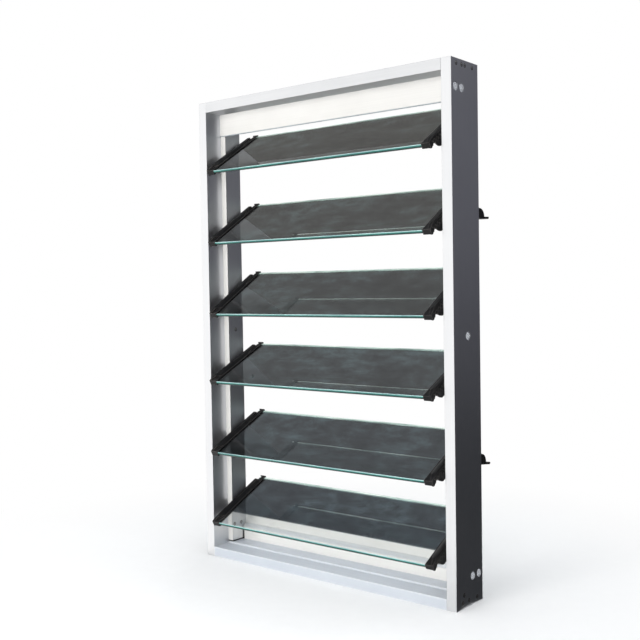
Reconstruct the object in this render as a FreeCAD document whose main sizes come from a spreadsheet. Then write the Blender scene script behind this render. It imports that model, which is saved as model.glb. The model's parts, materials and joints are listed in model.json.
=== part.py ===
"""Jalousie window: an aluminium frame with glass louvre blades that turn in galleries.

The window stands on its sill. +X runs along the blades to the right, +Y from the
weather side to the room, +Z up. The origin is the centre of the sill's underside.
"""
import FreeCAD
import Part
import Sketcher
import math
import os
import re

BLADE_COUNT = 6
UPPER_BANK = 3
HANDLE_BLADES = {2: "upper_handle", 5: "lower_handle"}
SIDES = {"left": -1, "right": 1}

# Driving dimensions in millimetres and degrees.
SIZES = {
    "blade_length": 498.0,
    "blade_width": 152.0,
    "glass_thickness": 6.0,
    "glass_arris": 1.2,
    "blade_pitch": 137.7,
    "upper_tilt": 32.0,
    "lower_tilt": 26.0,
    "frame_depth": 84.5,
    "jamb_face": 19.0,
    "jamb_web_inset": 22.0,
    "profile_wall": 1.8,
    "edge_radius": 0.8,
    "head_face": 19.0,
    "head_back_face": 12.0,
    "head_clearance": 8.0,
    "fascia_setback": 39.0,
    "fascia_thickness": 2.0,
    "fascia_drop": 42.0,
    "sill_face": 18.5,
    "sill_step": 3.0,
    "sill_step_setback": 39.0,
    "sill_clearance": 5.0,
    "upstand_inset": 13.0,
    "upstand_riser": 21.5,
    "upstand_height": 44.5,
    "upstand_thickness": 2.0,
    "ledge_run": 10.0,
    "ledge_rise": 6.5,
    "gallery_stand": 12.0,
    "gallery_depth": 40.0,
    "gallery_wall": 1.6,
    "pivot_inset": 13.0,
    "axle_diameter": 10.0,
    "axle_clearance": 0.05,
    "axle_end_gap": 2.0,
    "side_gap": 2.0,
    "clip_web": 2.5,
    "clip_width": 16.0,
    "clip_lip": 1.9,
    "clip_cap": 1.5,
    "cap_bevel": 1.0,
    "glass_fit": 0.1,
    "glass_end_fit": 0.5,
    "rib_width": 14.0,
    "rib_height": 4.5,
    "rib_crown_radius": 20.0,
    "rib_chamfer": 2.0,
    "rib_nose": 25.0,
    "rib_nose_drop": 4.0,
    "rib_nose_radius": 80.0,
    "rib_nose_width": 4.0,
    "rib_fall": 1.6,
    "rib_flare": 22.0,
    "rib_flare_radius": 40.0,
    "rib_tail": 34.0,
    "rib_tail_width": 8.0,
    "rib_tail_radius": 120.0,
    "heel_length": 16.0,
    "heel_width": 8.0,
    "tip_length": 6.0,
    "tip_radius": 5.0,
    "notch_radius": 7.8,
    "notch_width": 6.0,
    "lobe_front_gap": 19.0,
    "lobe_length": 73.5,
    "lobe_drop": 10.0,
    "lobe_tail": 20.0,
    "lobe_radius": 20.0,
    "hook_inset": 2.5,
    "upper_handle_lie": 30.0,
    "lower_handle_lie": 33.3,
    "handle_width": 9.0,
    "handle_foot_gap": 14.0,
    "handle_foot_length": 24.0,
    "handle_arch_radius": 90.0,
    "handle_back_radius": 120.0,
    "grip_reach": 91.8,
    "grip_top": 2.5,
    "grip_under": 16.0,
    "grip_width": 16.0,
    "dome_length": 17.0,
    "dome_radius": 15.5,
    "dome_neck": 2.0,
    "brim_length": 15.4,
    "brim_thickness": 4.0,
    "brim_radius": 2.6,
    "cap_diameter": 14.0,
    "cap_fit": 0.1,
    "head_cap_drop": 45.0,
    "head_cap_front": 13.0,
    "head_cap_rear": 32.0,
    "middle_cap_setback": 44.5,
    "sill_cap_rise": 47.5,
    "sill_cap_front_inset": 31.9,
    "sill_cap_rear_inset": 11.9,
}

# Places that follow from the driving dimensions, as expressions on the sheet.
CLIP_REACH = "(blade_width / 2 + clip_cap)"
CLIP_HALF = "(glass_thickness / 2 + glass_fit + clip_lip)"
SLOT_HALF = "(glass_thickness / 2 + glass_fit)"
CLIP_OUTER = "(blade_length / 2 + glass_end_fit + clip_web)"
GALLERY_FACE = f"({CLIP_OUTER} + side_gap)"
JAMB_INNER = f"({GALLERY_FACE} + gallery_stand)"
FRAME_HALF = f"({JAMB_INNER} + jamb_face)"
SILL_TOP = "(sill_face + sill_step)"
LOW_PIVOT = f"({SILL_TOP} + {CLIP_REACH} + sill_clearance)"
TOP_PIVOT = f"({LOW_PIVOT} + {BLADE_COUNT - 1} * blade_pitch)"
HEAD_SOFFIT = f"({TOP_PIVOT} + {CLIP_REACH} + head_clearance)"
FRAME_HEIGHT = f"({HEAD_SOFFIT} + head_back_face)"
HEAD_UNDERSIDE = f"({FRAME_HEIGHT} - head_face)"
FRONT = "(-frame_depth / 2)"
GALLERY_SETBACK = "(fascia_setback + fascia_thickness)"
PIVOT_DEPTH = f"({FRONT} + {GALLERY_SETBACK} + pivot_inset)"
AXLE_LENGTH = "(side_gap + gallery_stand - axle_end_gap)"

document = FreeCAD.newDocument("JalousieWindow")
sheet = document.addObject("Spreadsheet::Sheet", "Sizes")
for row, (alias, size) in enumerate(SIZES.items(), start=1):
    sheet.set(f"A{row}", alias)
    sheet.set(f"B{row}", str(size))
    sheet.setAlias(f"B{row}", alias)
document.recompute()


def bound(text):
    """An expression for a property, with each size read from the sheet."""
    return re.sub(r"[a-z_]{3,}", lambda word: f"Sizes.{word[0]}" if word[0] in SIZES else word[0], text)


def value(text):
    """The number that an expression has now."""
    return float(sheet.evalExpression(bound(text)))


def set_size(thing, name, text):
    thing.setExpression(name, bound(text))


def new_body(name):
    body = document.addObject("PartDesign::Body", name)
    body.Label = name
    return body


def place(body, x="0", y="0", z="0", tilt=None):
    """Puts a body in the window, turned about X by its tilt."""
    if tilt:
        body.Placement.Rotation = FreeCAD.Rotation(FreeCAD.Vector(1, 0, 0), value(tilt))
        set_size(body, "Placement.Rotation.Angle", tilt)
    for axis, text in zip("xyz", (x, y, z)):
        set_size(body, f"Placement.Base.{axis}", text)


def new_sketch(body, plane, name, offset=None):
    """A sketch on one of the body's own origin planes, or off it along the plane's normal."""
    sketch = body.newObject("Sketcher::SketchObject", name)
    support = next(item for item in body.Origin.OriginFeatures if item.Role == plane)
    sketch.AttachmentSupport = [(support, "")]
    sketch.MapMode = "FlatFace"
    if offset:
        set_size(sketch, "AttachmentOffset.Base.z", offset)
    return sketch


def pin(sketch, edge, end, x, y):
    """Holds one end of an edge, or a circle's centre, at a place."""
    for kind, text, axis in (("DistanceX", x, -2), ("DistanceY", y, -1)):
        if text == "0":
            sketch.addConstraint(Sketcher.Constraint("PointOnObject", edge, end, axis))
            continue
        number = sketch.addConstraint(Sketcher.Constraint(kind, -1, 1, edge, end, value(text)))
        set_size(sketch, f"Constraints[{number}]", text)


def arc_between(start, end, radius, turn):
    """The short arc from start to end that turns left (1) or right (-1)."""
    chord = end - start
    half = chord.Length / 2
    rise = math.sqrt(max(radius * radius - half * half, 0.0))
    normal = FreeCAD.Vector(-chord.y, chord.x, 0).normalize()
    centre = (start + end) * 0.5 + normal * (rise * turn)
    first, last = (start, end) if turn > 0 else (end, start)
    angles = [math.atan2(point.y - centre.y, point.x - centre.x) for point in (first, last)]
    if angles[1] < angles[0]:
        angles[1] += 2 * math.pi
    circle = Part.Circle(centre, FreeCAD.Vector(0, 0, 1), radius)
    return Part.ArcOfCircle(circle, angles[0], angles[1])


def outline(sketch, corners):
    """A closed outline. A corner is (x, y), or (x, y, radius, turn) where an arc ends there."""
    points = [FreeCAD.Vector(value(corner[0]), value(corner[1]), 0) for corner in corners]
    edges = []
    for index, corner in enumerate(corners):
        start, end = points[index - 1], points[index]
        if len(corner) == 2:
            edges.append((sketch.addGeometry(Part.LineSegment(start, end), False), 1, 2))
            continue
        radius, turn = corner[2:]
        edge = sketch.addGeometry(arc_between(start, end, value(radius), turn), False)
        edges.append((edge, 1, 2) if turn > 0 else (edge, 2, 1))
    for index, (edge, _, end) in enumerate(edges):
        following, first, _ = edges[(index + 1) % len(edges)]
        sketch.addConstraint(Sketcher.Constraint("Coincident", edge, end, following, first))
        pin(sketch, edge, end, corners[index][0], corners[index][1])
        if len(corners[index]) == 4:
            radius = corners[index][2]
            number = sketch.addConstraint(Sketcher.Constraint("Radius", edge, value(radius)))
            set_size(sketch, f"Constraints[{number}]", radius)


def rectangle(sketch, x_low, y_low, x_high, y_high):
    outline(sketch, [(x_low, y_low), (x_high, y_low), (x_high, y_high), (x_low, y_high)])


def circle(sketch, x, y, diameter):
    centre = FreeCAD.Vector(value(x), value(y), 0)
    radius = value(diameter) / 2
    edge = sketch.addGeometry(Part.Circle(centre, FreeCAD.Vector(0, 0, 1), radius), False)
    pin(sketch, edge, 3, x, y)
    number = sketch.addConstraint(Sketcher.Constraint("Diameter", edge, 2 * radius))
    set_size(sketch, f"Constraints[{number}]", diameter)


def pad(body, sketch, length, towards=1):
    """Pads a sketch along its normal, or against it."""
    feature = body.newObject("PartDesign::Pad", sketch.Name + "Pad")
    feature.Profile = sketch
    feature.Reversed = towards < 0
    set_size(feature, "Length", length)
    sketch.Visibility = False
    return feature


def pocket(body, sketch, depth, towards=-1):
    """Cuts a sketch into the solid against its normal, or along it."""
    document.recompute()
    before = body.Shape.Volume
    feature = body.newObject("PartDesign::Pocket", sketch.Name + "Pocket")
    feature.Profile = sketch
    feature.Reversed = towards > 0
    set_size(feature, "Length", depth)
    document.recompute()
    if feature.Shape.Volume >= before:
        raise RuntimeError(f"{feature.Name} cuts nothing")
    return feature


def signed(text, side):
    return text if side > 0 or text == "0" else f"(-{text})"


# Hole caps: (depth from the front face, height) of each, the same on both jambs.
CAP_PLACES = [
    ("head_cap_front", f"({FRAME_HEIGHT} - head_cap_drop)"),
    ("head_cap_rear", f"({FRAME_HEIGHT} - head_cap_drop)"),
    ("middle_cap_setback", f"({FRAME_HEIGHT} / 2)"),
    ("(frame_depth - sill_cap_front_inset)", "sill_cap_rise"),
    ("(frame_depth - sill_cap_rear_inset)", "sill_cap_rise"),
]


def make_jamb(hand, side):
    """A two-chamber box extrusion, full height, with the cap holes in its outer wall."""
    body = new_body(f"{hand}_jamb")
    place(body, x=signed(FRAME_HALF, side), y=FRONT)
    inward = -side
    profile = new_sketch(body, "XY_Plane", f"{hand}JambProfile")
    face = signed("jamb_face", inward)
    outline(profile, [
        (signed("edge_radius", inward), "0", "edge_radius", inward),
        (signed("(jamb_face - edge_radius)", inward), "0"),
        (face, "edge_radius", "edge_radius", inward),
        (face, "frame_depth"),
        ("0", "frame_depth"),
        ("0", "edge_radius"),
    ])
    near, far = signed("profile_wall", inward), signed("(jamb_face - profile_wall)", inward)
    web = "(frame_depth - jamb_web_inset)"
    rectangle(profile, near, "profile_wall", far, f"({web} - profile_wall / 2)")
    rectangle(profile, near, f"({web} + profile_wall / 2)", far, "(frame_depth - profile_wall)")
    pad(body, profile, FRAME_HEIGHT)
    holes = new_sketch(body, "YZ_Plane", f"{hand}CapHoles")
    for depth, height in CAP_PLACES:
        circle(holes, depth, height, "cap_diameter")
    pocket(body, holes, "profile_wall", inward)
    return body


def make_caps(hand, side):
    """Plastic plugs that fill the holes, flush with the jamb's outer face."""
    body = new_body(f"{hand}_hole_caps")
    body.AllowCompound = True
    place(body, x=signed(FRAME_HALF, side), y=FRONT)
    discs = new_sketch(body, "YZ_Plane", f"{hand}CapDiscs")
    for depth, height in CAP_PLACES:
        circle(discs, depth, height, "(cap_diameter - 2 * cap_fit)")
    pad(body, discs, "profile_wall", -side)
    return body


def make_head():
    """The top extrusion: a deep box in front and a shallow one above the top blade."""
    body = new_body("head")
    place(body, x=f"(-{JAMB_INNER})", y=FRONT, z=FRAME_HEIGHT)
    profile = new_sketch(body, "YZ_Plane", "HeadProfile")
    outline(profile, [
        ("0", "0"),
        ("0", "(-head_face + edge_radius)"),
        ("edge_radius", "(-head_face)", "edge_radius", 1),
        ("fascia_setback", "(-head_face)"),
        ("fascia_setback", "(-head_back_face)"),
        ("frame_depth", "(-head_back_face)"),
        ("frame_depth", "0"),
    ])
    rectangle(profile, "profile_wall", "(-head_face + profile_wall)",
              "(fascia_setback - profile_wall)", "(-profile_wall)")
    rectangle(profile, "fascia_setback", "(-head_back_face + profile_wall)",
              "(frame_depth - profile_wall)", "(-profile_wall)")
    pad(body, profile, f"(2 * {JAMB_INNER})")
    return body


def make_fascia():
    """The flat weather bar that hangs from the head in front of the top blade."""
    body = new_body("head_fascia")
    place(body, x=f"(-{JAMB_INNER})", y=f"({FRONT} + fascia_setback)", z=HEAD_SOFFIT)
    profile = new_sketch(body, "YZ_Plane", "FasciaProfile")
    rectangle(profile, "0", f"({HEAD_UNDERSIDE} - {HEAD_SOFFIT} - fascia_drop)", "fascia_thickness", "0")
    pad(body, profile, f"(2 * {JAMB_INNER})")
    return body


def make_sill():
    """The bottom extrusion: a hollow box whose top steps up towards the room."""
    body = new_body("sill")
    place(body, x=f"(-{JAMB_INNER})", y=FRONT)
    profile = new_sketch(body, "YZ_Plane", "SillProfile")
    outline(profile, [
        ("0", "0"),
        ("frame_depth", "0"),
        ("frame_depth", SILL_TOP),
        ("(sill_step_setback + edge_radius)", SILL_TOP),
        ("sill_step_setback", f"({SILL_TOP} - edge_radius)", "edge_radius", 1),
        ("sill_step_setback", "sill_face"),
        ("edge_radius", "sill_face"),
        ("0", "(sill_face - edge_radius)", "edge_radius", 1),
    ])
    rectangle(profile, "profile_wall", "profile_wall",
              "sill_step_setback", "(sill_face - profile_wall)")
    rectangle(profile, "(sill_step_setback + profile_wall)", "profile_wall",
              "(frame_depth - profile_wall)", f"({SILL_TOP} - profile_wall)")
    pad(body, profile, f"(2 * {JAMB_INNER})")
    return body


def make_upstand():
    """The weather bar behind the lowest blade: a riser, a sloping ledge and a lip, bent from one sheet."""
    body = new_body("sill_upstand")
    place(body, x=f"(-{GALLERY_FACE})", y=f"({FRONT} + frame_depth - upstand_inset)", z=SILL_TOP)
    profile = new_sketch(body, "YZ_Plane", "UpstandProfile")
    lip_back = "(ledge_run + upstand_thickness)"
    outline(profile, [
        ("0", "0"),
        ("upstand_inset", "0"),
        ("upstand_inset", "upstand_thickness"),
        ("upstand_thickness", "upstand_thickness"),
        ("upstand_thickness", "(upstand_riser - upstand_thickness)"),
        (lip_back, "(upstand_riser + ledge_rise - upstand_thickness)"),
        (lip_back, "upstand_height"),
        ("ledge_run", "upstand_height"),
        ("ledge_run", "(upstand_riser + ledge_rise)"),
        ("0", "upstand_riser"),
    ])
    pad(body, profile, f"(2 * {GALLERY_FACE})")
    return body


def make_gallery(hand, side):
    """The channel on a jamb that carries the blades' axles in a row of holes."""
    body = new_body(f"{hand}_gallery")
    place(body, x=signed(GALLERY_FACE, side), y=f"({FRONT} + {GALLERY_SETBACK})", z=SILL_TOP)
    profile = new_sketch(body, "XY_Plane", f"{hand}GalleryProfile")
    root, skin = signed("gallery_stand", side), signed("gallery_wall", side)
    outline(profile, [
        ("0", "0"),
        (root, "0"),
        (root, "gallery_wall"),
        (skin, "gallery_wall"),
        (skin, "(gallery_depth - gallery_wall)"),
        (root, "(gallery_depth - gallery_wall)"),
        (root, "gallery_depth"),
        ("0", "gallery_depth"),
    ])
    pad(body, profile, f"({HEAD_SOFFIT} - {SILL_TOP})")
    hole = new_sketch(body, "YZ_Plane", f"{hand}PivotHole")
    circle(hole, "pivot_inset", f"({LOW_PIVOT} - {SILL_TOP})", "(axle_diameter + 2 * axle_clearance)")
    cut = pocket(body, hole, "gallery_wall", side)
    row_of_holes = body.newObject("PartDesign::LinearPattern", f"{hand}PivotRow")
    row_of_holes.Originals = [cut]
    row_of_holes.Direction = (hole, ["V_Axis"])
    row_of_holes.Occurrences = BLADE_COUNT
    set_size(row_of_holes, "Length", f"({BLADE_COUNT - 1} * blade_pitch)")
    body.Tip = row_of_holes
    return body


def blade_place(number):
    """Height and tilt of a blade, counted from the top."""
    tilt = "upper_tilt" if number <= UPPER_BANK else "lower_tilt"
    return f"({TOP_PIVOT} - {number - 1} * blade_pitch)", tilt


def make_glass(number):
    """A glass louvre blade with ground arrises along its edges."""
    body = new_body(f"glass_blade_{number}")
    height, tilt = blade_place(number)
    place(body, x="(-blade_length / 2)", y=PIVOT_DEPTH, z=height, tilt=tilt)
    section = new_sketch(body, "YZ_Plane", f"GlassSection{number}")
    edge, face = "(blade_width / 2)", "(glass_thickness / 2)"
    inner_edge, inner_face = f"({edge} - glass_arris)", f"({face} - glass_arris)"
    outline(section, [
        (f"(-{inner_edge})", f"(-{face})"),
        (inner_edge, f"(-{face})"),
        (edge, f"(-{inner_face})"),
        (edge, inner_face),
        (inner_edge, face),
        (f"(-{inner_edge})", face),
        (f"(-{edge})", inner_face),
        (f"(-{edge})", f"(-{inner_face})"),
    ])
    pad(body, section, "blade_length")
    return body


def make_clip(hand, side, number):
    """A moulded clip: a channel round the blade's end, a side web, a crowned rib and a stub axle."""
    name = f"{hand}_clip_{number}"
    body = new_body(name)
    height, tilt = blade_place(number)
    place(body, x=signed(CLIP_OUTER, side), y=PIVOT_DEPTH, z=height, tilt=tilt)
    inward = -side
    tag = f"{hand.title()}{number}"
    glass_edge = "(blade_width / 2)"

    front, bevel_front = f"(-{CLIP_REACH})", f"(-{CLIP_REACH} + cap_bevel)"
    low, high = f"(-{CLIP_HALF})", CLIP_HALF

    channel = new_sketch(body, "YZ_Plane", f"Channel{tag}")
    slot_front = f"(-{glass_edge} - glass_fit)"
    outline(channel, [
        (bevel_front, low),
        (CLIP_REACH, low),
        (CLIP_REACH, f"(-{SLOT_HALF})"),
        (slot_front, f"(-{SLOT_HALF})"),
        (slot_front, SLOT_HALF),
        (CLIP_REACH, SLOT_HALF),
        (CLIP_REACH, high),
        (bevel_front, high),
        (front, f"({high} - cap_bevel)"),
        (front, f"({low} + cap_bevel)"),
    ])
    pad(body, channel, "clip_width", inward)

    web = new_sketch(body, "YZ_Plane", f"Web{tag}")
    lobe_front = f"({front} + lobe_front_gap)"
    lobe_rear = f"({lobe_front} + lobe_length)"
    lobe_low = f"({low} - lobe_drop)"
    outline(web, [
        (front, low),
        (f"({front} + tip_length)", low, "tip_radius", 1),
        (lobe_front, low),
        (f"({lobe_front} + lobe_drop)", lobe_low, "lobe_radius", 1),
        (f"({lobe_rear} - lobe_tail)", lobe_low),
        (lobe_rear, low),
        (CLIP_REACH, low),
        (CLIP_REACH, high),
        (front, high),
    ])
    pad(body, web, "clip_web", inward)

    notch = new_sketch(body, "YZ_Plane", f"Notch{tag}")
    outline(notch, [
        (lobe_front, low),
        (f"({front} + tip_length)", low, "notch_radius", 1),
    ])
    pocket(body, notch, "notch_width", inward)

    rib_top = f"({high} + rib_height)"
    rib_rear = f"({CLIP_REACH} - heel_length)"
    rib_inner = signed("rib_width", inward)
    rib = new_sketch(body, "XZ_Plane", f"Rib{tag}", offset=f"(-{rib_rear})")
    outline(rib, [
        ("0", SLOT_HALF),
        (rib_inner, SLOT_HALF),
        (rib_inner, high),
        (signed("rib_chamfer", inward), rib_top, "rib_crown_radius", inward),
        ("0", f"({rib_top} - rib_chamfer)"),
    ])
    pad(body, rib, f"({rib_rear} + {CLIP_REACH})")

    crest = new_sketch(body, "YZ_Plane", f"RibCrest{tag}")
    crest_clear = f"({rib_top} + rib_fall)"
    outline(crest, [
        (front, crest_clear),
        (front, f"({rib_top} - rib_nose_drop)"),
        (f"({front} + rib_nose)", rib_top, "rib_nose_radius", -1),
        (rib_rear, f"({rib_top} - rib_fall)"),
        (rib_rear, crest_clear),
    ])
    pocket(body, crest, "rib_width", inward)

    sides = new_sketch(body, "XY_Plane", f"RibSides{tag}", offset=high)
    outline(sides, [
        (rib_inner, front),
        (rib_inner, f"({front} + rib_flare)"),
        (signed("rib_nose_width", inward), front, "rib_flare_radius", inward),
    ])
    outline(sides, [
        (rib_inner, rib_rear),
        (signed("rib_tail_width", inward), rib_rear),
        (rib_inner, f"({rib_rear} - rib_tail)", "rib_tail_radius", inward),
    ])
    pocket(body, sides, "rib_height", 1)

    heel = new_sketch(body, "XY_Plane", f"Heel{tag}", offset=low)
    rectangle(heel, "0", rib_rear, signed("heel_width", inward), CLIP_REACH)
    pocket(body, heel, f"({high} - {low})", 1)

    hook = new_sketch(body, "YZ_Plane", f"Hook{tag}", offset=signed("hook_inset", inward))
    rectangle(hook, f"({glass_edge} + glass_fit)", low, CLIP_REACH, high)
    pad(body, hook, "(clip_width - hook_inset)", inward)

    axle = new_sketch(body, "YZ_Plane", f"Axle{tag}")
    circle(axle, "0", "0", "axle_diameter")
    pad(body, axle, AXLE_LENGTH, side)
    return body


def level(along, up, lie):
    """A place given level with the floor, turned into the blade's own axes by the lever's lie."""
    return f"({along} * cos({lie}) + {up} * sin({lie}))", f"({up} * cos({lie}) - {along} * sin({lie}))"


def make_handle(number):
    """A lever under the right clip of a bank's leading blade, with a domed grip and a finger brim."""
    name = HANDLE_BLADES[number]
    body = new_body(name)
    height, tilt = blade_place(number)
    place(body, x=CLIP_OUTER, y=PIVOT_DEPTH, z=height, tilt=tilt)
    tag = name.split("_")[0].title()
    lie = f"{name}_lie"
    foot_rear = "(blade_width / 2 - handle_foot_gap)"
    foot_front = f"({foot_rear} - handle_foot_length)"
    seat = f"(-{CLIP_HALF})"
    dome_end = "(grip_reach + dome_length)"
    brim_end = f"({dome_end} + brim_length)"
    brim_top = "(brim_thickness - grip_under)"
    neck = f"({brim_top} + dome_neck)"
    under = level("grip_reach", "(-grip_under)", lie)
    crown = level("grip_reach", "grip_top", lie)

    arm = new_sketch(body, "YZ_Plane", f"Arm{tag}")
    outline(arm, [
        (foot_front, seat),
        (*under, "handle_arch_radius", -1),
        level(dome_end, "(-grip_under)", lie),
        level(dome_end, neck, lie),
        (*crown, "dome_radius", 1),
        (foot_rear, seat, "handle_back_radius", 1),
    ])
    pad(body, arm, "handle_width", -1)

    grip = new_sketch(body, "YZ_Plane", f"Grip{tag}")
    outline(grip, [
        under,
        level(f"({brim_end} - brim_thickness / 2)", "(-grip_under)", lie),
        (*level(brim_end, brim_top, lie), "brim_radius", 1),
        level(dome_end, brim_top, lie),
        level(dome_end, neck, lie),
        (*crown, "dome_radius", 1),
    ])
    pad(body, grip, "grip_width", -1)
    return body


parts = [make_head(), make_fascia(), make_sill(), make_upstand()]
for hand, side in SIDES.items():
    parts += [make_jamb(hand, side), make_caps(hand, side), make_gallery(hand, side)]
for number in range(1, BLADE_COUNT + 1):
    parts.append(make_glass(number))
    parts += [make_clip(hand, side, number) for hand, side in SIDES.items()]
parts += [make_handle(number) for number in HANDLE_BLADES]
document.recompute()

failed = [item.Name for item in document.Objects if {"Invalid", "Error"} & set(item.State)]
failed += [part.Label for part in parts if part.Shape.isNull() or not part.Shape.isValid()]
if failed:
    raise RuntimeError("not built: " + ", ".join(failed))

os.makedirs("parts", exist_ok=True)
for part in parts:
    part.Shape.exportStep(f"parts/{part.Label}.step")
    box = part.Shape.BoundBox
    print(f"{part.Label}: {len(part.Shape.Solids)} solid(s), {part.Shape.Volume / 1000:.1f} cm3,",
          f"z {box.ZMin:.1f} to {box.ZMax:.1f}")
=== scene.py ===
"""Jalousie window: finishes, glass blades, caps, screws, dark strips and a brush seal on its solids, in a
plain studio.

Lengths are in metres in the window's own frame: +X along the blades to the right, +Y from
the weather side to the room, +Z up. A blade has axes of its own: x along it, u across it
towards the room, v square to its upper face.
"""
import json
import math

import bmesh
import bpy
from mathutils import Matrix, Vector


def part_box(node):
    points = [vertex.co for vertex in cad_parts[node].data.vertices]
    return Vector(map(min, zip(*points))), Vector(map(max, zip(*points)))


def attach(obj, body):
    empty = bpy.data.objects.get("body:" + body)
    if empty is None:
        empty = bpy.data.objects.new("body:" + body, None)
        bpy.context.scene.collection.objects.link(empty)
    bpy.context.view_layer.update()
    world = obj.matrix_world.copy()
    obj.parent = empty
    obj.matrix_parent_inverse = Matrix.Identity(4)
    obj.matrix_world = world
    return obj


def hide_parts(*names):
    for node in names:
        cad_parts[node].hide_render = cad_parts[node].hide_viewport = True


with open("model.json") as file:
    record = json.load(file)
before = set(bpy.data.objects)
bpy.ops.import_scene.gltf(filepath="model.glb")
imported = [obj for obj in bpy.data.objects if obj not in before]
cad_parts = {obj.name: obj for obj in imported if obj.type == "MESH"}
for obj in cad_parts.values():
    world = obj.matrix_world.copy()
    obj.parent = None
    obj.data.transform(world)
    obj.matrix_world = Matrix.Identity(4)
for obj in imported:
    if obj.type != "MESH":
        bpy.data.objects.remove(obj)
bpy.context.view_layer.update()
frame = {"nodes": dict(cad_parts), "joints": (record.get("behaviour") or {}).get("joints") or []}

NODES = frame["nodes"]
JOINTS = {joint["child"]: joint for joint in frame["joints"]}
BLADES = sorted(JOINTS)
SIDES = {"left": -1, "right": 1}
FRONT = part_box("right_jamb")[0].y

# Camera: where it stands, the direction it looks and the direction it reads as up.
CAMERA_PLACE = Vector((1.0565, -1.34125, 0.52875))
CAMERA_FORWARD = Vector((-0.62645, 0.77866, -0.03529))
CAMERA_UP = Vector((-0.00957, 0.03758, 0.99925))
CAMERA_LENS_MM = 52.81
CAMERA_SENSOR_MM = 36.0
CAMERA_NEAR = 0.01

# The axis that an extrusion runs along.
LEVEL = 0
UPRIGHT = 2

# Extruded metal: how fine its die lines are across and along the run, how deep they are, and
# how far its edges are rounded and, on some, how wide a painted highlight runs along them.
LINES_ACROSS = 520.0
LINES_ALONG = 5.0
LINE_DEPTH = 0.0004
METAL_EDGE = 0.0007
HIGHLIGHT_EDGE = 0.0050

# Glass sizes. The rim is the pale line along a blade's rear, which glows: painted light.
GLASS_LENGTH = 0.498
GLASS_WIDTH = 0.152
GLASS_THICKNESS = 0.006
GLASS_ARRIS = 0.0012
ARRIS_STEPS = 3
RIM_WIDTH = 0.0030

# Painted shade in the glass: a dark tint standing in for a dark room seen through clear glass. The
# heights between which it turns from blue to brown, and where across the lowest blade it starts,
# with clear glass in front.
BLUE_HEIGHT = 0.10
BROWN_HEIGHT = 0.80
SHADE_START = -0.037
SHADE_FADE = 0.0004

# The film of smudges on the glass: the least that a wipe leaves, what grit adds, and how much
# paler the glass grows towards the rear, from one line across the blade to another.
WIPE_LEAST = 0.42
GRIT_SHARE = 0.24
REAR_SHARE = 0.07
REAR_FROM = -0.03
REAR_TO = 0.076

# Plastic: how wide the painted highlight on edges is, how far edges are rounded, and the grain's depth.
CLIP_HIGHLIGHT_EDGE = 0.0014
CLIP_EDGE = 0.0006
MOULDED_EDGE = 0.0005
PLASTIC_GRAIN = 0.0002


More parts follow.
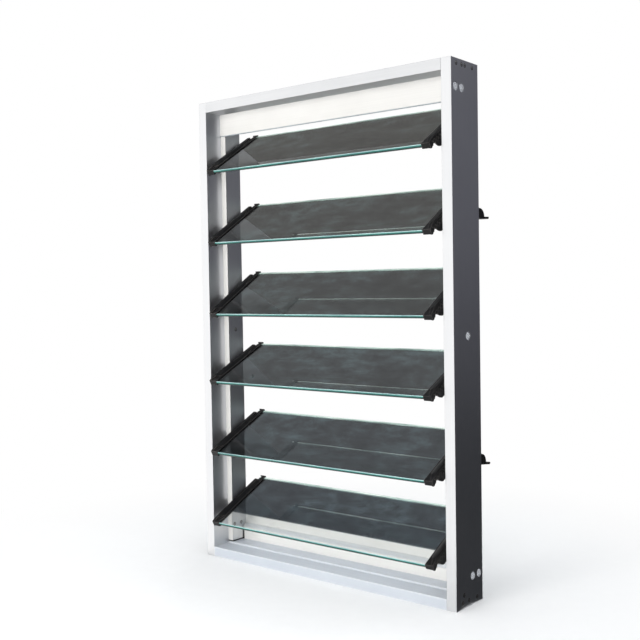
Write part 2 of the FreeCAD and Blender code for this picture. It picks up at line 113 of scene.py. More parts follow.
class Shader:
    """A node material with one principled shader, and short calls that add nodes to it."""

    EDGE_SAMPLES = 6
    EDGE_GAIN = 3.0

    def __init__(self, name, **values):
        self.material = bpy.data.materials.new(name)
        self.material.use_nodes = True
        self.tree = self.material.node_tree
        self.surface = self.tree.nodes["Principled BSDF"]
        for socket, value in values.items():
            self.surface.inputs[socket.replace("_", " ")].default_value = value

    def add(self, kind, inputs=None, **settings):
        """Adds a node. An input is a plain value, or the output socket that feeds it."""
        node = self.tree.nodes.new("ShaderNode" + kind)
        for name, value in settings.items():
            setattr(node, name, value)
        for name, value in (inputs or {}).items():
            self.feed(node.inputs[name], value)
        return node

    def feed(self, socket, value):
        """Gives an input socket its plain value, or links it to the socket that feeds it."""
        if isinstance(value, bpy.types.NodeSocket):
            self.tree.links.new(value, socket)
        else:
            socket.default_value = value

    def set(self, socket, value):
        """Feeds one of the principled shader's own sockets."""
        self.feed(self.surface.inputs[socket], value)

    def places(self):
        """The surface's place in the piece's own axes."""
        return self.add("TexCoord").outputs["Object"]

    def piece_place(self):
        """Where the piece itself stands, so that no two blades look alike."""
        return self.add("ObjectInfo").outputs["Location"]

    def along(self, axis):
        """One coordinate of the surface's place."""
        return self.add("SeparateXYZ", {"Vector": self.places()}).outputs[axis]

    def share(self, value, low, high):
        """0 where a value is at its low end, 1 at its high end."""
        limits = {"Value": value, "From Min": low, "From Max": high}
        return self.add("MapRange", limits).outputs["Result"]

    def noise(self, scale, detail=3.0, roughness=0.55, stretch=(1, 1, 1), shift=None):
        """Noise over the piece's own axes, drawn out where stretch is small."""
        place = self.add("Mapping", {"Vector": self.places(), "Scale": stretch}).outputs["Vector"]
        if shift:
            place = self.add("VectorMath", {0: place, 1: shift}, operation="ADD").outputs["Vector"]
        values = {"Vector": place, "Scale": scale, "Detail": detail, "Roughness": roughness}
        return self.add("TexNoise", values).outputs["Fac"]

    def ramp(self, value, *stops):
        """A colour ramp with (place, colour) stops; a plain number stands for a grey."""
        node = self.add("ValToRGB", {"Fac": value})
        set_stops(node, stops)
        return node.outputs["Color"]

    def blend(self, share, first, second, how="MIX"):
        """Mixes two colours."""
        node = self.add("Mix", data_type="RGBA", blend_type=how)
        self.feed(node.inputs["Factor"], share)
        for slot, value in (("A", first), ("B", second)):
            socket = next(s for s in node.inputs if s.name == slot and s.type == "RGBA")
            self.feed(socket, value if isinstance(value, bpy.types.NodeSocket) else (*value, 1.0))
        return next(s for s in node.outputs if s.type == "RGBA")

    def maths(self, how, first, second):
        """One sum of two values."""
        return self.add("Math", {0: first, 1: second}, operation=how).outputs["Value"]

    def soft_edges(self, radius):
        """The normal of the surface with its hard edges rounded off."""
        return self.add("Bevel", {"Radius": radius}, samples=self.EDGE_SAMPLES).outputs["Normal"]

    def edge_share(self, radius):
        """How near a point lies to a hard edge, from 0 on a flat to about 1 on the edge."""
        flat = self.add("NewGeometry").outputs["True Normal"]
        pair = {0: self.soft_edges(radius), 1: flat}
        alike = self.add("VectorMath", pair, operation="DOT_PRODUCT").outputs["Value"]
        return self.maths("MULTIPLY", self.maths("SUBTRACT", 1.0, alike), self.EDGE_GAIN)

    def bump(self, height, strength, distance, edge):
        """Fine relief on a surface whose hard edges are rounded off."""
        values = {"Height": height, "Strength": strength, "Distance": distance}
        return self.add("Bump", {**values, "Normal": self.soft_edges(edge)}).outputs["Normal"]


def set_stops(node, stops):
    """Fills a colour ramp."""
    points = node.color_ramp.elements
    while len(points) < len(stops):
        points.new(0.5)
    for point, (where, colour) in zip(points, stops):
        point.position = where
        point.color = (*([colour] * 3 if isinstance(colour, (int, float)) else colour), 1.0)


def extrusion(name, run, dark, pale, metallic, rough, smooth, edge=None):
    """Satin extruded metal: die lines along its run, a soft change of tone, and painted highlights on its
    edges if asked.
    """
    shader = Shader(name, Metallic=metallic)
    stretch = [LINES_ACROSS] * 3
    stretch[run] = LINES_ALONG
    lines = shader.noise(1.0, detail=4.0, roughness=0.7, stretch=stretch)
    clouds = shader.noise(7.0, detail=4.0)
    tone = shader.ramp(clouds, (0.30, dark), (0.72, pale))
    # Painted highlight: edges blend towards a paler colour, as if they caught the light.
    if edge:
        tone = shader.blend(shader.edge_share(HIGHLIGHT_EDGE), tone, edge)
    streaks = shader.ramp(lines, (0.25, 0.95), (0.75, 1.0))
    shader.set("Base Color", shader.blend(1.0, tone, streaks, "MULTIPLY"))
    shader.set("Roughness", shader.ramp(lines, (0.2, rough), (0.8, smooth)))
    shader.set("Normal", shader.bump(lines, 0.10, LINE_DEPTH, METAL_EDGE))
    return shader.material


def anodised(name, run, rough, smooth):
    """Silver anodised aluminium."""
    return extrusion(name, run, dark=(0.740, 0.746, 0.756), pale=(0.785, 0.788, 0.794),
                     metallic=1.0, rough=rough, smooth=smooth)


def white_coat(name, run):
    """White baked enamel on aluminium."""
    return extrusion(name, run, dark=(0.800, 0.790, 0.766), pale=(0.848, 0.840, 0.820),
                     metallic=0.0, rough=0.50, smooth=0.42)


def cool_coat(name, run):
    """Pale blue-grey enamel on aluminium, with painted highlights along its edges."""
    return extrusion(name, run, dark=(0.592, 0.636, 0.700), pale=(0.642, 0.682, 0.740),
                     metallic=0.15, rough=0.48, smooth=0.40, edge=(0.850, 0.870, 0.890))


def shaded_glass(name, shade_start=None):
    """Clear float glass with a dark tint of painted shade, standing in for a dark room seen through it:
    browner on the upper blades and bluer on the lower, with wiped smudges.

    The painted tint may start at a line across the blade, with clear glass in front of it.
    """
    shader = Shader(name, Roughness=0.012, IOR=1.62, Transmission_Weight=1.0)
    shift = shader.piece_place()
    level = shader.add("SeparateXYZ", {"Vector": shift}).outputs["Z"]
    height = shader.share(level, BLUE_HEIGHT, BROWN_HEIGHT)
    smudge = shader.noise(38.0, detail=7.0, roughness=0.72, stretch=(0.7, 1.2, 1.0), shift=shift)
    wipe = shader.noise(9.0, detail=4.0, stretch=(0.5, 1.0, 1.0), shift=shift)
    grit = shader.noise(260.0, detail=4.0, roughness=0.7, stretch=(0.8, 0.5, 1.0), shift=shift)
    to_rear = shader.share(shader.along("Y"), REAR_FROM, REAR_TO)
    film = shader.maths("MULTIPLY", smudge, shader.maths("ADD", wipe, WIPE_LEAST))
    film = shader.maths("ADD", film, shader.maths("MULTIPLY", to_rear, REAR_SHARE))
    film = shader.maths("ADD", film, shader.maths("MULTIPLY", grit, GRIT_SHARE))
    # Painted shade: dark tints for a dark room seen through the glass, paler where the film is thick.
    lower = shader.ramp(film, (0.42, (0.044, 0.051, 0.058)), (0.60, (0.062, 0.072, 0.081)),
                        (0.80, (0.100, 0.134, 0.150)))
    upper = shader.ramp(film, (0.42, (0.064, 0.063, 0.058)), (0.60, (0.084, 0.084, 0.078)),
                        (0.80, (0.122, 0.144, 0.139)))
    shade_tint = shader.blend(height, lower, upper)
    if shade_start:
        share = shader.share(shader.along("Y"), shade_start - SHADE_FADE, shade_start + SHADE_FADE)
        shade_tint = shader.blend(share, (0.945, 0.965, 0.96), shade_tint)
    shader.set("Base Color", shade_tint)
    return shader.material


def glass_edge():
    """The green of float glass seen through its ground edge, with painted shade low and a painted highlight
    along the upper arris.
    """
    shader = Shader("glass_edge_green", Roughness=0.16, IOR=1.5)
    level = shader.share(shader.along("Z"), -GLASS_THICKNESS / 2, GLASS_THICKNESS / 2)
    runs = shader.noise(9.0, detail=4.0, stretch=(1.0, 12.0, 12.0), shift=shader.piece_place())
    # Painted shade and highlight: near black at the lower arris, pale along the upper.
    edge_shade_and_highlight = shader.ramp(level, (0.0, (0.003, 0.014, 0.013)), (0.40, (0.004, 0.036, 0.031)),
                       (0.58, (0.014, 0.175, 0.142)), (0.81, (0.048, 0.300, 0.252)),
                       (0.92, (0.540, 0.780, 0.760)))
    # Painted glints along the edge's length.
    glint = shader.ramp(runs, (0.30, (0.45, 0.52, 0.56)), (0.55, (0.86, 0.88, 0.90)),
                        (0.75, (1.0, 1.0, 1.0)))
    shader.set("Base Color", shader.blend(1.0, edge_shade_and_highlight, glint, "MULTIPLY"))
    return shader.material


def glowing_glass_rim(name, glow):
    """The pale line along a blade's rear: painted light that glows, for light coming in through the edge
    behind.
    """
    shader = Shader(name, Roughness=0.10, IOR=1.5, Emission_Strength=glow)
    runs = shader.noise(14.0, detail=5.0, stretch=(1.0, 9.0, 9.0), shift=shader.piece_place())
    tone = shader.ramp(runs, (0.32, (0.25, 0.34, 0.31)), (0.52, (0.58, 0.70, 0.64)),
                       (0.70, (0.86, 0.92, 0.86)))
    shader.set("Base Color", tone)
    shader.set("Emission Color", tone)
    return shader.material


def black_plastic():
    """Black moulded nylon, satin, with a spark-eroded grain and a painted highlight: edges lightened grey
    in patches.
    """
    shader = Shader("clip_black_plastic", IOR=1.46, Specular_IOR_Level=0.20)
    grain = shader.noise(1900.0, detail=2.0)
    scuffs = shader.noise(60.0, detail=5.0, roughness=0.7, stretch=(0.35, 1.0, 1.0))
    body = shader.ramp(scuffs, (0.35, (0.0055, 0.0055, 0.0065)), (0.75, (0.014, 0.0135, 0.0135)))
    # Painted highlight: the edges are lightened grey, more in some patches than others.
    sheen_patches = shader.ramp(scuffs, (0.3, 0.35), (0.7, 1.0))
    edge_sheen = shader.maths("MULTIPLY", shader.edge_share(CLIP_HIGHLIGHT_EDGE), sheen_patches)
    shader.set("Base Color", shader.blend(edge_sheen, body, (0.190, 0.174, 0.162)))
    shader.set("Roughness", shader.ramp(scuffs, (0.3, 0.44), (0.7, 0.30)))
    shader.set("Normal", shader.bump(grain, 0.10, PLASTIC_GRAIN, CLIP_EDGE))
    return shader.material


def moulded(name, dirty, clean, rough):
    """A small plain moulding, a little grubby."""
    shader = Shader(name, Roughness=rough)
    dirt = shader.noise(800.0, detail=4.0)
    shader.set("Base Color", shader.ramp(dirt, (0.30, dirty), (0.65, clean)))
    shader.set("Normal", shader.bump(dirt, 0.12, PLASTIC_GRAIN, MOULDED_EDGE))
    return shader.material


def screw_steel():
    """Zinc-plated steel with a turned sheen."""
    shader = Shader("screw_zinc_steel", Metallic=1.0)
    marks = shader.noise(900.0, detail=3.0)
    shader.set("Base Color", shader.ramp(marks, (0.3, (0.42, 0.40, 0.37)), (0.7, (0.66, 0.65, 0.62))))
    shader.set("Roughness", shader.ramp(marks, (0.3, 0.42), (0.7, 0.26)))
    return shader.material


ALUMINIUM_UPRIGHT = anodised("aluminium_upright", UPRIGHT, rough=0.42, smooth=0.34)
ALUMINIUM_LEVEL = anodised("aluminium_level", LEVEL, rough=0.57, smooth=0.49)
ENAMEL_LEVEL = white_coat("enamel_level", LEVEL)
ENAMEL_UPRIGHT = white_coat("enamel_upright", UPRIGHT)
ENAMEL_COOL = cool_coat("enamel_cool", LEVEL)
# Glass whose dark tint is painted shade.
GLASS_SHADE = shaded_glass("glass_grey_tint")
GLASS_SHADE_LOWEST = shaded_glass("glass_painted_shade_lowest", SHADE_START)
GLASS_EDGE = glass_edge()
# Painted glow: the blades' rear rims shine though they are no lamp.
GLASS_RIM_GLOW = glowing_glass_rim("glass_rim_upper_glow", glow=0.30)
GLASS_RIM_LOWER_GLOW = glowing_glass_rim("glass_rim_lower_glow", glow=1.35)
CLIP_BLACK = black_plastic()
CAP_PALE = moulded("cap_pale_plastic", (0.56, 0.58, 0.62), (0.62, 0.635, 0.67), rough=0.42)
DARK_STRIP_BLACK = moulded("dark_strip_black", (0.010, 0.010, 0.011), (0.030, 0.029, 0.028), rough=0.72)
PILE_GREY = moulded("pile_grey", (0.42, 0.48, 0.52), (0.58, 0.63, 0.66), rough=0.85)
# Black of painted shade for the screws' flat countersinks and cross recesses.
RECESS_SHADE = moulded("screw_recess_painted_shade", (0.010, 0.009, 0.008), (0.032, 0.028, 0.025), rough=0.60)
SCREW_STEEL = screw_steel()

FINISHES = {
    ALUMINIUM_UPRIGHT: [f"{hand}_{piece}" for hand in SIDES for piece in ("jamb", "gallery")],
    ALUMINIUM_LEVEL: ["head"],
    ENAMEL_COOL: ["sill"],
    ENAMEL_LEVEL: ["head_fascia", "sill_upstand"],
    CLIP_BLACK: [name for name in NODES if "_clip_" in name or name.endswith("_handle")],
}
for material, names in FINISHES.items():
    for name in names:
        NODES[name].data.materials.clear()
        NODES[name].data.materials.append(material)


def new_piece(name, mesh, *materials, body=None, slot=None):
    """Adds a mesh to the scene, as a piece that moves with a body if one is named."""
    data = bpy.data.meshes.new(name)
    mesh.normal_update()
    mesh.to_mesh(data)
    mesh.free()
    for material in materials:
        data.materials.append(material)
    piece = bpy.data.objects.new(name, data)
    bpy.context.scene.collection.objects.link(piece)
    if body:
        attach(piece, body)
    return piece


def put_on_blade(piece, blade):
    """Stands a piece made in a blade's own axes at the blade's pivot and tilt."""
    piece.location = JOINTS[blade]["pos_m"]
    piece.rotation_euler.x = math.radians(-JOINTS[blade]["range_deg"][0])


def gallery_face(hand, side):
    """Where a gallery's face towards the blades stands, in X."""
    low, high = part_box(f"{hand}_gallery")
    return low.x if side > 0 else high.x


def turned(mesh, centre, normal, profile, segments=24, material=0):
    """Turns a profile of (radius, height) about a normal through centre; it ends on the axis."""
    turn = normal.to_track_quat("Z", "Y").to_matrix()
    steps = [2 * math.pi * step / segments for step in range(segments)]
    rings = []
    for radius, height in profile:
        ring = []
        for angle in steps if radius else steps[:1]:
            point = Vector((radius * math.cos(angle), radius * math.sin(angle), height))
            ring.append(mesh.verts.new(centre + turn @ point))
        rings.append(ring)
    for lower, upper in zip(rings, rings[1:]):
        for step in range(segments):
            after = (step + 1) % segments
            top = [upper[0]] if len(upper) == 1 else [upper[after], upper[step]]
            face = mesh.faces.new([lower[step], lower[after], *top])
            face.material_index = material
            face.smooth = True


def block(mesh, low, high, material=0, soften=0.0):
    """A bar between two corners, its edges rounded if asked."""
    size = Vector(high) - Vector(low)
    middle = (Vector(high) + Vector(low)) / 2
    place = Matrix.Translation(middle) @ Matrix.Diagonal((*size, 1.0))
    corners = bmesh.ops.create_cube(mesh, size=1.0, matrix=place)["verts"]
    faces = {face for corner in corners for face in corner.link_faces}
    if soften:
        edges = list({edge for face in faces for edge in face.edges})
        made = bmesh.ops.bevel(mesh, geom=edges, offset=soften, segments=2, profile=0.5, affect="EDGES")
        faces = {face for face in faces if face.is_valid} | set(made["faces"])
    for face in faces:
        face.material_index = material


def prism(mesh, section, start, end):
    """Draws a section out along X from start to end; returns its side faces and its two end faces."""
    rings = []
    for x in (start, end):
        rings.append([mesh.verts.new((x, *point)) for point in section])
    first, last = rings
    sides = []
    for index in range(len(section)):
        after = (index + 1) % len(section)
        sides.append(mesh.faces.new((first[index], last[index], last[after], first[after])))
    ends = [mesh.faces.new(ring) for ring in rings]
    bmesh.ops.recalc_face_normals(mesh, faces=mesh.faces)
    return sides, ends


def glass_section():
    """A blade's section as (u, v) points from the lower front round to the upper front, arrises rounded."""
    half_width, half_thickness = GLASS_WIDTH / 2, GLASS_THICKNESS / 2
    points = []
    for corner, (side, face) in enumerate(((-1, -1), (1, -1), (1, 1), (-1, 1))):
        middle = Vector((side * (half_width - GLASS_ARRIS), face * (half_thickness - GLASS_ARRIS)))
        arc = []
        for step in range(ARRIS_STEPS + 1):
            angle = math.pi + (corner + step / ARRIS_STEPS) * math.pi / 2
            arc.append(middle + GLASS_ARRIS * Vector((math.cos(angle), math.sin(angle))))
        if side > 0:
            rim = Vector((half_width - GLASS_ARRIS - RIM_WIDTH, face * half_thickness))
            arc.insert(0 if face < 0 else len(arc), rim)
        points += arc
    return points


# The order of a pane's materials.
SHADED_FACE, GREEN_EDGE, UPPER_GLOW_RIM, LOWER_GLOW_RIM = range(4)


def pane_finish(point, after):
    """Which material covers a pane between two neighbouring points of its section."""
    if point.y != after.y:
        return GREEN_EDGE
    if abs(point.x - after.x) > RIM_WIDTH * 2:
        return SHADED_FACE
    return UPPER_GLOW_RIM if point.y > 0 else LOWER_GLOW_RIM


def glass_blade(blade):
    """One pane: dark faces of painted shade, green edges with painted highlight, a rear rim with a painted
    glow. Light falls through it.
    """
    mesh = bmesh.new()
    section = glass_section()
    sides, ends = prism(mesh, section, -GLASS_LENGTH / 2, GLASS_LENGTH / 2)
    for side, point, after in zip(sides, section, section[1:] + section[:1]):
        side.material_index = pane_finish(point, after)
    for end in ends:
        end.material_index = GREEN_EDGE
    shaded = GLASS_SHADE_LOWEST if blade == BLADES[-1] else GLASS_SHADE
    pane = new_piece(f"{blade}_pane", mesh, shaded, GLASS_EDGE, GLASS_RIM_GLOW, GLASS_RIM_LOWER_GLOW)
    put_on_blade(pane, blade)
    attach(pane, blade)
    pane.visible_shadow = False
    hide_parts(f"glass_{blade}")


# Moulded lattice on the outer face of each clip's web, in the blade's own axes.
LATTICE_FROM = -0.0700
LATTICE_TO = 0.0560
LATTICE_CELL = 0.0090
LATTICE_HALF_HEIGHT = 0.0044
LATTICE_RIB = 0.0009
LATTICE_PROUD = 0.0004
AXLE_CLEAR = 0.0115
CLIP_TO_GALLERY = 0.0020


def clip_lattice(blade):
    """Crossed ribs moulded on the outer faces of a blade's two clips."""
    mesh = bmesh.new()
    cells = int((LATTICE_TO - LATTICE_FROM) / LATTICE_CELL)
    length = math.hypot(LATTICE_CELL, 2 * LATTICE_HALF_HEIGHT)
    lean = math.atan2(2 * LATTICE_HALF_HEIGHT, LATTICE_CELL)
    size = Matrix.Diagonal((2 * LATTICE_PROUD, length, LATTICE_RIB, 1.0))
    for hand, side in SIDES.items():
        face = gallery_face(hand, side) - side * CLIP_TO_GALLERY
        for cell in range(cells):
            middle = LATTICE_FROM + (cell + 0.5) * LATTICE_CELL
            if abs(middle) < AXLE_CLEAR:
                continue
            for way in (1, -1):
                place = Matrix.Translation((face, middle, 0.0)) @ Matrix.Rotation(way * lean, 4, "X")
                bmesh.ops.create_cube(mesh, size=1.0, matrix=place @ size)
    piece = new_piece(f"{blade}_clip_lattice", mesh, CLIP_BLACK)
    put_on_blade(piece, blade)
    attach(piece, blade)


for blade in BLADES:
    glass_blade(blade)
    clip_lattice(blade)


def islands(node):
    """The lowest and highest corner of each separate solid in a node."""
    mesh = bmesh.new()
    mesh.from_mesh(NODES[node].data)
    bmesh.ops.remove_doubles(mesh, verts=mesh.verts, dist=1e-6)
    waiting = set(mesh.verts)
    boxes = []
    while waiting:
        found = [waiting.pop()]
        for vertex in found:
            for edge in vertex.link_edges:
                other = edge.other_vert(vertex)
                if other in waiting:
                    waiting.remove(other)
                    found.append(other)
        boxes.append([Vector([pick(v.co[i] for v in found) for i in range(3)]) for pick in (min, max)])
    mesh.free()
    return boxes


# Hole caps: how far the dome rises, the sunk line round it, and the angles up its curve.
CAP_RISE = 0.0007
CAP_LIP = 0.0004
CAP_CURVE = (0, 25, 45, 65)
CAP_SEGMENTS = 40


def hole_caps(hand, side):
    """Domed plugs that fill the jamb's holes, each with a fine sunk line round it."""
    mesh = bmesh.new()
    for low, high in islands(f"{hand}_hole_caps"):
        radius = (high.z - low.z) / 2
        crown = radius - CAP_RISE
        profile = [(radius, low.x - high.x), (radius, -CAP_RISE - CAP_LIP)]
        for angle in map(math.radians, CAP_CURVE):
            profile.append((crown * math.cos(angle), -CAP_RISE * (1 - math.sin(angle))))
        profile.append((0.0, 0.0))
        middle = (low + high) / 2
        middle.x = high.x if side > 0 else low.x
        turned(mesh, middle, Vector((side, 0, 0)), profile, segments=CAP_SEGMENTS)
    piece = new_piece(f"{hand}_cap_domes", mesh, CAP_PALE, body="frame", slot="cap_plastic")
    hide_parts(f"{hand}_hole_caps")


for hand, side in SIDES.items():
    hole_caps(hand, side)


# Screws, as (depth behind the front face, height above the sill's underside).
JAMB_SCREWS = [(0.016, 0.882), (0.033, 0.882), (0.043, 0.882), (0.066, 0.882),
               (0.024, 0.022), (0.019, 0.010), (0.039, 0.010), (0.066, 0.009)]
GALLERY_SCREWS = [(0.060, 0.446), (0.048, 0.053), (0.067, 0.053)]
SCREW_PROUD = 0.00002

# Radii of a screw: the countersink and its lip, the head, and the head's flat top.
SINK_RADIUS = 0.0036
SINK_LIP = 0.0033
HEAD_RADIUS = 0.00246
HEAD_TOP = 0.001476

# Heights on a screw: the countersink's floor, the head's shoulder and the cross.
SINK_FLOOR = SCREW_PROUD * 0.5
HEAD_SHOULDER = SCREW_PROUD * 0.7
CROSS_PROUD = SCREW_PROUD * 1.2
CROSS_REACH = 0.00156
CROSS_HALF_WIDTH = 0.00039

# The order of the screws' materials.
STEEL, SHADED_RECESS = range(2)


def screw(mesh, centre, normal):
    """A countersunk cross-head screw drawn flat: a black ring and cross of painted shade for its sunk hole
    and recess, and a low steel head.
    """
    sink = [(SINK_RADIUS, 0.0), (SINK_LIP, SINK_FLOOR), (HEAD_RADIUS, SINK_FLOOR), (0.0, SINK_FLOOR)]
    turned(mesh, centre, normal, sink, material=SHADED_RECESS)
    head = [(HEAD_RADIUS, 0.0), (HEAD_RADIUS, HEAD_SHOULDER), (HEAD_TOP, SCREW_PROUD), (0.0, SCREW_PROUD)]
    turned(mesh, centre, normal, head, material=STEEL)
    out = Vector((normal.x * CROSS_PROUD, 0.0, 0.0))
    for half_y, half_z in ((CROSS_REACH, CROSS_HALF_WIDTH), (CROSS_HALF_WIDTH, CROSS_REACH)):
        spread = Vector((0.0, half_y, half_z))
        block(mesh, centre - spread, centre + out + spread, material=SHADED_RECESS)


def frame_screws():
    """The screws through the jambs' outer faces and those that hold the galleries."""
    mesh = bmesh.new()
    for hand, side in SIDES.items():
        low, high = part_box(f"{hand}_jamb")
        outer_face = high.x if side > 0 else low.x
        inner_face = gallery_face(hand, side)
        for depth, height in JAMB_SCREWS:
            screw(mesh, Vector((outer_face, FRONT + depth, height)), Vector((side, 0, 0)))
        for depth, height in GALLERY_SCREWS:
            screw(mesh, Vector((inner_face, FRONT + depth, height)), Vector((-side, 0, 0)))
    new_piece("frame_screws", mesh, SCREW_STEEL, RECESS_SHADE, body="frame", slot="frame_aluminium")


# Dark strips: those under the galleries, and those that cover part of the upstand's ends.
DARK_STRIP_HEIGHT = 0.0024
DARK_STRIP_PROUD = 0.0006
END_STRIP_WIDTH = 0.0022
END_STRIP_SHARE = 0.45
TRIM_EDGE = 0.0003


def dark_strips():
    """Black strips under the galleries and at the ends of the upstand."""
    mesh = bmesh.new()
    bar_low, bar_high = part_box("sill_upstand")
    end_top = bar_low.z + (bar_high.z - bar_low.z) * END_STRIP_SHARE
    for hand, side in SIDES.items():
        low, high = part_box(f"{hand}_gallery")
        inner, outer = (low.x, high.x) if side > 0 else (high.x, low.x)
        left, right = sorted((inner - side * DARK_STRIP_PROUD, outer))
        block(mesh, (left, low.y - DARK_STRIP_PROUD, low.z),
              (right, high.y + DARK_STRIP_PROUD, low.z + DARK_STRIP_HEIGHT), soften=TRIM_EDGE)
        left, right = sorted((inner, inner - side * END_STRIP_WIDTH))
        block(mesh, (left, bar_low.y - DARK_STRIP_PROUD, bar_low.z),
              (right, bar_low.y + DARK_STRIP_PROUD, end_top), soften=TRIM_EDGE)
    new_piece("gallery_seals", mesh, DARK_STRIP_BLACK, body="frame", slot="clip_plastic")


# Brush seal: its backing, and the pitch, width and length of its tufts.
PILE_BACKING = 0.0006
PILE_PROUD = 0.0003
PILE_PITCH = 0.0030
PILE_TUFT = 0.0017
PILE_DROP = 0.0011


def fascia_pile():
    """The brush seal along the fascia's lower edge: a thin backing with a row of tufts below it."""
    mesh = bmesh.new()
    low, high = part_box("head_fascia")
    front, back = low.y - PILE_PROUD, low.y + PILE_PROUD
    block(mesh, (low.x, front, low.z), (high.x, back, low.z + PILE_BACKING))
    tufts = round((high.x - low.x) / PILE_PITCH)
    for tuft in range(tufts):
        left = low.x + tuft * PILE_PITCH
        block(mesh, (left, front, low.z - PILE_DROP), (left + PILE_TUFT, high.y, low.z))
    new_piece("fascia_pile", mesh, PILE_GREY, body="frame", slot="cap_plastic")


STRIP_PROUD = 0.0008


def weather_strips():
    """The white strip on the front flange of each gallery. Metal doesn't mirror it, nor the fascia."""
    mesh = bmesh.new()
    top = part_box("head_fascia")[0].z
    for hand in SIDES:
        low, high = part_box(f"{hand}_gallery")
        block(mesh, (low.x, low.y - STRIP_PROUD, low.z + DARK_STRIP_HEIGHT),
              (high.x, low.y + STRIP_PROUD, top), soften=TRIM_EDGE)
    strips = new_piece("weather_strips", mesh, ENAMEL_UPRIGHT, body="frame", slot="cap_plastic")
    for white_trim in (strips, NODES["head_fascia"]):
        white_trim.visible_glossy = False


# The upstand's sloping ledge, from the foot of its front corner, and the reeds along it. A
# reed's flat top lies between two shares of the pitch.
LEDGE_HEIGHT = 0.0215
LEDGE_RUN = 0.0100
LEDGE_RISE = 0.0065
LEDGE_MARGIN = 0.0006
LEDGE_INSET = 0.0025
REEDS = 6
REED_FOOT = 0.00015
REED_RISE = 0.00045
REED_SUNK = 0.0003
REED_TOP = (0.3, 0.7)


def ledge_reeds():
    """Fine reeds along the sloping ledge of the upstand."""
    low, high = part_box("sill_upstand")
    slope = Vector((LEDGE_RUN, LEDGE_RISE))
    pitch = (slope.length - 2 * LEDGE_MARGIN) / REEDS
    way = slope.normalized()
    out = Vector((-way.y, way.x))
    foot = Vector((low.y, low.z + LEDGE_HEIGHT))
    section = [(LEDGE_MARGIN, -REED_SUNK)]
    for reed in range(REEDS):
        start = LEDGE_MARGIN + reed * pitch
        section.append((start, REED_FOOT))
        section += [(start + share * pitch, REED_RISE) for share in REED_TOP]
    section += [(slope.length - LEDGE_MARGIN, REED_FOOT), (slope.length - LEDGE_MARGIN, -REED_SUNK)]
    points = [foot + along * way + proud * out for along, proud in section]
    mesh = bmesh.new()
    prism(mesh, points, low.x + LEDGE_INSET, high.x - LEDGE_INSET)
    new_piece("ledge_reeds", mesh, ENAMEL_COOL, body="frame", slot="frame_aluminium")


frame_screws()
dark_strips()
fascia_pile()
weather_strips()
ledge_reeds()


def shown_rays(tree):
    """1 for rays that see the background: from the camera, off gloss and through glass."""
    path = tree.nodes.new("ShaderNodeLightPath")
    total = path.outputs["Is Camera Ray"]
    for name in ("Is Glossy Ray", "Is Transmission Ray"):
        larger = tree.nodes.new("ShaderNodeMath")
        larger.operation = "MAXIMUM"
        tree.links.new(total, larger.inputs[0])
        tree.links.new(path.outputs[name], larger.inputs[1])
        total = larger.outputs[0]
    return total


FLOOR_RADIUS = 30.0
FLOOR_SEGMENTS = 96
FADE_START = 0.28
FADE_END = 0.95


def studio_floor():
    """A pale floor that keeps the window's shadow and fades to white away from it."""
    shader = Shader("floor_pale", Roughness=0.85)
    grain = shader.noise(40.0, detail=4.0)
    shader.set("Base Color", shader.ramp(grain, (0.3, 0.925), (0.7, 0.940)))
    distance = shader.add("VectorMath", {0: shader.places()}, operation="LENGTH").outputs["Value"]
    fade = shader.add("MapRange", {"Value": distance, "From Min": FADE_START, "From Max": FADE_END},
                      interpolation_type="SMOOTHSTEP").outputs["Result"]
    share = shader.maths("MULTIPLY", fade, shown_rays(shader.tree))
    white = shader.add("Emission", {"Color": (1, 1, 1, 1), "Strength": 1.0}).outputs["Emission"]
    mixed = shader.add("MixShader", {0: share, 1: shader.surface.outputs["BSDF"], 2: white})
    shader.feed(shader.tree.nodes["Material Output"].inputs["Surface"], mixed.outputs["Shader"])
    mesh = bmesh.new()
    bmesh.ops.create_circle(mesh, cap_ends=True, segments=FLOOR_SEGMENTS, radius=FLOOR_RADIUS)
    new_piece("studio_floor", mesh, shader.material)


# The studio's cards. A card has its top tone from this share of its height up.
CARD_TOP_FROM = 0.45
CARD_RADIUS = 1.5
CARD_HEIGHT = 1.6
CARD_ABOVE_FLOOR = 0.0003
CARD_STEPS = 24
OVERHEAD_PLACE = Vector((-0.95, 0.36, 1.60))
OVERHEAD_TARGET = Vector((0.0, 0.0, 0.45))
OVERHEAD_HALF_WIDTH = 0.85
OVERHEAD_HEIGHT = 2.0


def card_material(name, foot, top, height):
    """A card with a glow of its own that changes from its foot to its top."""
    shader = Shader(name, Roughness=1.0, Emission_Strength=1.0)
    cloth = shader.noise(6.0)
    shader.set("Base Color", shader.ramp(cloth, (0.3, 0.0), (0.7, 0.003)))
    level = shader.share(shader.along("Z"), 0.0, height)
    shader.set("Emission Color", shader.ramp(level, (0.0, foot), (CARD_TOP_FROM, top)))
    return shader.material


def gloss_card(name, mesh, material):
    """Stands a card in the studio that only gloss sees, as a photographer's flag."""
    card = new_piece(name, mesh, material)
    for ray in ("camera", "diffuse", "transmission", "volume_scatter", "shadow"):
        setattr(card, f"visible_{ray}", False)


def curved_card(name, from_degrees, to_degrees, foot, top, inner):
    """An upright card round the window, from one compass angle to another, with a foot along the floor."""
    mesh = bmesh.new()
    spread = to_degrees - from_degrees
    turns = [math.radians(from_degrees + spread * step / CARD_STEPS) for step in range(CARD_STEPS + 1)]
    rows = [(CARD_RADIUS, CARD_HEIGHT), (CARD_RADIUS, CARD_ABOVE_FLOOR), (inner, CARD_ABOVE_FLOOR)]
    rings = [[mesh.verts.new((r * math.sin(a), r * math.cos(a), z)) for a in turns] for r, z in rows]
    for upper, lower in zip(rings, rings[1:]):
        for step in range(CARD_STEPS):
            mesh.faces.new((lower[step], lower[step + 1], upper[step + 1], upper[step]))
    gloss_card(name, mesh, card_material(name, foot, top, CARD_HEIGHT))


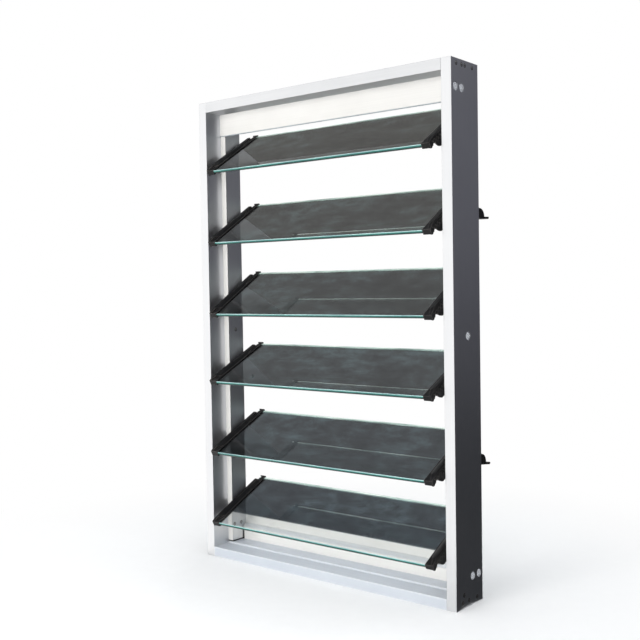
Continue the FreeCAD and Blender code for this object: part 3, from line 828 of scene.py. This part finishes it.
def overhead_card():
    """A dark card above and to the left, in which the blades' upper faces look."""
    mesh = bmesh.new()
    turn = (OVERHEAD_TARGET - OVERHEAD_PLACE).to_track_quat("Z", "Y").to_matrix().to_4x4()
    bmesh.ops.create_grid(mesh, x_segments=1, y_segments=1, size=OVERHEAD_HALF_WIDTH,
                          matrix=Matrix.Translation(OVERHEAD_PLACE) @ turn)
    material = card_material("overhead_card", foot=(0.13, 0.13, 0.13), top=(0.15, 0.15, 0.15),
                             height=OVERHEAD_HEIGHT)
    gloss_card("overhead_card", mesh, material)


SKY_STOPS = ((0.0, 1.0), (0.45, 1.0), (0.70, (0.66, 0.70, 0.75)), (1.0, (0.52, 0.56, 0.62)))
FILL_COLOUR = (0.95, 0.975, 1.0, 1.0)
FILL_STRENGTH = 0.42


def studio_world():
    """White round the horizon, greyer overhead; a lower even fill for what is matt."""
    world = bpy.data.worlds.new("studio_world")
    bpy.context.scene.world = world
    world.use_nodes = True
    tree = world.node_tree
    tree.nodes.clear()
    place = tree.nodes.new("ShaderNodeTexCoord")
    split = tree.nodes.new("ShaderNodeSeparateXYZ")
    tree.links.new(place.outputs["Generated"], split.inputs["Vector"])
    ramp = tree.nodes.new("ShaderNodeValToRGB")
    tree.links.new(split.outputs["Z"], ramp.inputs["Fac"])
    set_stops(ramp, SKY_STOPS)
    shown = tree.nodes.new("ShaderNodeBackground")
    tree.links.new(ramp.outputs["Color"], shown.inputs["Color"])
    fill = tree.nodes.new("ShaderNodeBackground")
    fill.inputs["Color"].default_value = FILL_COLOUR
    fill.inputs["Strength"].default_value = FILL_STRENGTH
    mix = tree.nodes.new("ShaderNodeMixShader")
    tree.links.new(shown_rays(tree), mix.inputs[0])
    tree.links.new(fill.outputs["Background"], mix.inputs[1])
    tree.links.new(shown.outputs["Background"], mix.inputs[2])
    out = tree.nodes.new("ShaderNodeOutputWorld")
    tree.links.new(mix.outputs["Shader"], out.inputs["Surface"])


LIGHT_TARGET = Vector((0.0, 0.0, 0.4))


def soft_light(name, place, size, power, colour):
    """A large round lamp aimed at the window; gloss sees the cards and the world instead."""
    lamp = bpy.data.lights.new(name, "AREA")
    lamp.shape = "DISK"
    lamp.size = size
    lamp.energy = power
    lamp.color = colour
    light = bpy.data.objects.new(name, lamp)
    light.location = place
    light.rotation_euler = (LIGHT_TARGET - light.location).to_track_quat("-Z", "Y").to_euler()
    light.visible_glossy = False
    bpy.context.scene.collection.objects.link(light)


def camera():
    """Stands where the photograph was taken from."""
    data = bpy.data.cameras.new("camera")
    data.lens = CAMERA_LENS_MM
    data.sensor_width = CAMERA_SENSOR_MM
    data.clip_start = CAMERA_NEAR
    view = bpy.data.objects.new("camera", data)
    right = CAMERA_FORWARD.cross(CAMERA_UP)
    turn = Matrix((right, CAMERA_UP, -CAMERA_FORWARD)).transposed()
    view.matrix_world = Matrix.Translation(CAMERA_PLACE) @ turn.to_4x4()
    bpy.context.scene.collection.objects.link(view)
    bpy.context.scene.camera = view


studio_floor()
curved_card("right_card", from_degrees=-4.0, to_degrees=118.0,
            foot=(0.008, 0.009, 0.012), top=(0.100, 0.101, 0.122), inner=0.288)
curved_card("front_card", from_degrees=-235.0, to_degrees=-95.0,
            foot=(1.20, 1.20, 1.20), top=(1.28, 1.28, 1.28), inner=0.30)
overhead_card()
studio_world()
soft_light("front_light", place=(-0.25, -2.7, 1.0), size=1.4, power=44.0, colour=(1.0, 0.985, 0.955))
soft_light("top_light", place=(0.25, 0.0, 2.6), size=2.2, power=47.0, colour=(0.96, 0.98, 1.0))
camera()
bpy.context.scene.view_settings.view_transform = "Standard"
